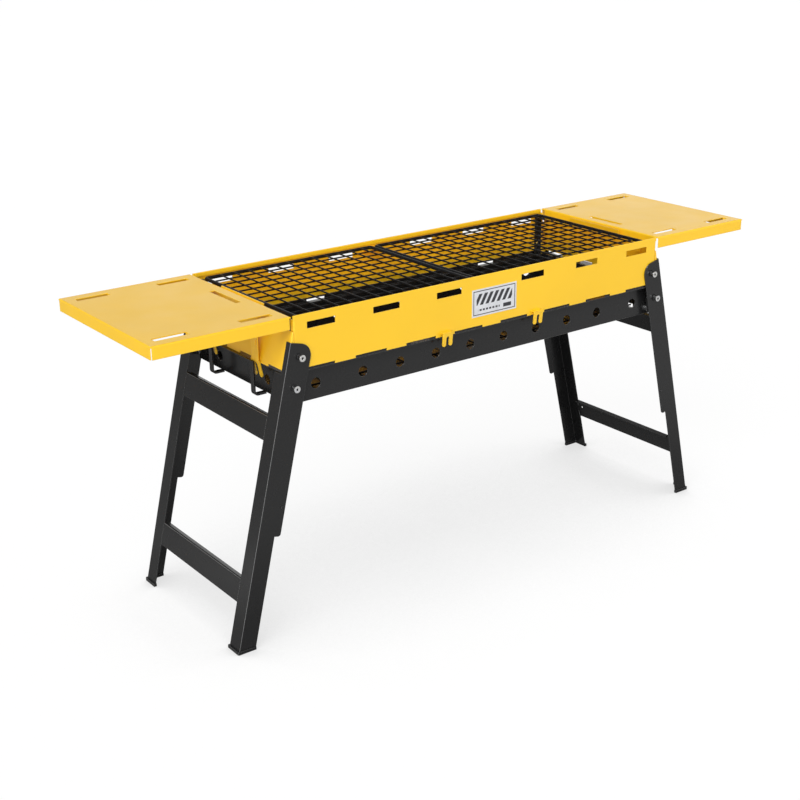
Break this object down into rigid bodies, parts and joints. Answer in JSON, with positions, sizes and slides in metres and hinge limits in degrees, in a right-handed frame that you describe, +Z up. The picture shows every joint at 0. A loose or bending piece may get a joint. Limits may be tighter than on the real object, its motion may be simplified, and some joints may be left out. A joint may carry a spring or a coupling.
{
  "type": "folding charcoal grill",
  "caption": "Long sheet-steel charcoal grill with wire grates, lift-off side shelves and splayed leg frames that fold under the firebox.",
  "frame": {"origin": "on the floor, under the middle of the firebox", "axes": "+X along the firebox towards the right shelf, +Y towards the back, +Z up"},
  "size_m": [1.617, 0.4276, 0.688],
  "materials": {
    "yellow_paint": "glossy yellow powder coat on sheet steel",
    "black_paint": "satin black powder coat on sheet steel",
    "grate_enamel": "black enamel on steel wire",
    "zinc": "bright zinc plate",
    "label": "printed metallic foil"
  },
  "bodies": {
    "grill": {"front_panel": "yellow_paint", "back_panel": "yellow_paint", "left_end_panel": "yellow_paint", "right_end_panel": "yellow_paint", "box_trough": "black_paint", "box_left_end": "black_paint", "box_right_end": "black_paint", "left_bracket": "black_paint", "right_bracket": "black_paint", "corner_posts": "black_paint", "middle_rests": "yellow_paint", "grid_rails": "black_paint", "hinge_pins": "zinc", "fork_clips": "yellow_paint", "label_plate": "label"},
    "coal_grid": {"coal_grid_long_rods": "grate_enamel", "coal_grid_cross_rods": "grate_enamel"},
    "left_leg_frame": {"left_front_leg": "black_paint", "left_back_leg": "black_paint", "left_upper_bar": "black_paint", "left_lower_bar": "black_paint", "left_shoes": "black_paint", "left_hinge_ears": "black_paint", "left_ear_screws": "zinc", "left_collars": "black_paint", "left_studs": "black_paint"},
    "right_leg_frame": {"right_front_leg": "black_paint", "right_back_leg": "black_paint", "right_upper_bar": "black_paint", "right_lower_bar": "black_paint", "right_shoes": "black_paint", "right_hinge_ears": "black_paint", "right_ear_screws": "zinc", "right_collars": "black_paint", "right_studs": "black_paint"},
    "lock_screw_front_left": {"lock_screw_front_left": "zinc"},
    "lock_screw_back_left": {"lock_screw_back_left": "zinc"},
    "lock_screw_front_right": {"lock_screw_front_right": "zinc"},
    "lock_screw_back_right": {"lock_screw_back_right": "zinc"},
    "left_grate": {"left_grate_rim": "grate_enamel", "left_grate_long_wires": "grate_enamel", "left_grate_cross_wires": "grate_enamel"},
    "right_grate": {"right_grate_rim": "grate_enamel", "right_grate_long_wires": "grate_enamel", "right_grate_cross_wires": "grate_enamel"},
    "left_shelf": {"left_shelf_pan": "yellow_paint", "left_shelf_hangers": "yellow_paint", "left_shelf_hooks": "yellow_paint"},
    "right_shelf": {"right_shelf_pan": "yellow_paint", "right_shelf_hangers": "yellow_paint", "right_shelf_hooks": "yellow_paint"}
  },
  "joints": [
    {"name": "left_leg_fold", "type": "hinge", "parent": "grill", "child": "left_leg_frame", "pos_m": [-0.49901, 0, 0.51516], "axis": [0, -1, 0], "range_deg": [0, 103.5]},
    {"name": "right_leg_fold", "type": "hinge", "parent": "grill", "child": "right_leg_frame", "pos_m": [0.49901, 0, 0.51516], "axis": [0, 1, 0], "range_deg": [0, 96.5]},
    {"name": "lock_screw_front_left_travel", "type": "slide", "parent": "left_leg_frame", "child": "lock_screw_front_left", "axis": [0, 1, 0], "range_m": [0, 0.0032]},
    {"name": "lock_screw_back_left_travel", "type": "slide", "parent": "left_leg_frame", "child": "lock_screw_back_left", "axis": [0, -1, 0], "range_m": [0, 0.0032]},
    {"name": "lock_screw_front_right_travel", "type": "slide", "parent": "right_leg_frame", "child": "lock_screw_front_right", "axis": [0, 1, 0], "range_m": [0, 0.0032]},
    {"name": "lock_screw_back_right_travel", "type": "slide", "parent": "right_leg_frame", "child": "lock_screw_back_right", "axis": [0, -1, 0], "range_m": [0, 0.0032]},
    {"name": "left_grate_lift", "type": "slide", "parent": "grill", "child": "left_grate", "axis": [0, 0, 1], "range_m": [0, 0.06]},
    {"name": "right_grate_lift", "type": "slide", "parent": "grill", "child": "right_grate", "axis": [0, 0, 1], "range_m": [0, 0.06]},
    {"name": "left_shelf_lift", "type": "slide", "parent": "grill", "child": "left_shelf", "axis": [-0.1908, 0, 0.9816], "range_m": [0, 0.05]},
    {"name": "right_shelf_lift", "type": "slide", "parent": "grill", "child": "right_shelf", "axis": [0.1908, 0, 0.9816], "range_m": [0, 0.05]},
    {"name": "coal_grid_lift", "type": "slide", "parent": "grill", "child": "coal_grid", "axis": [0, 0, 1], "range_m": [0, 0.08]}
  ]
}
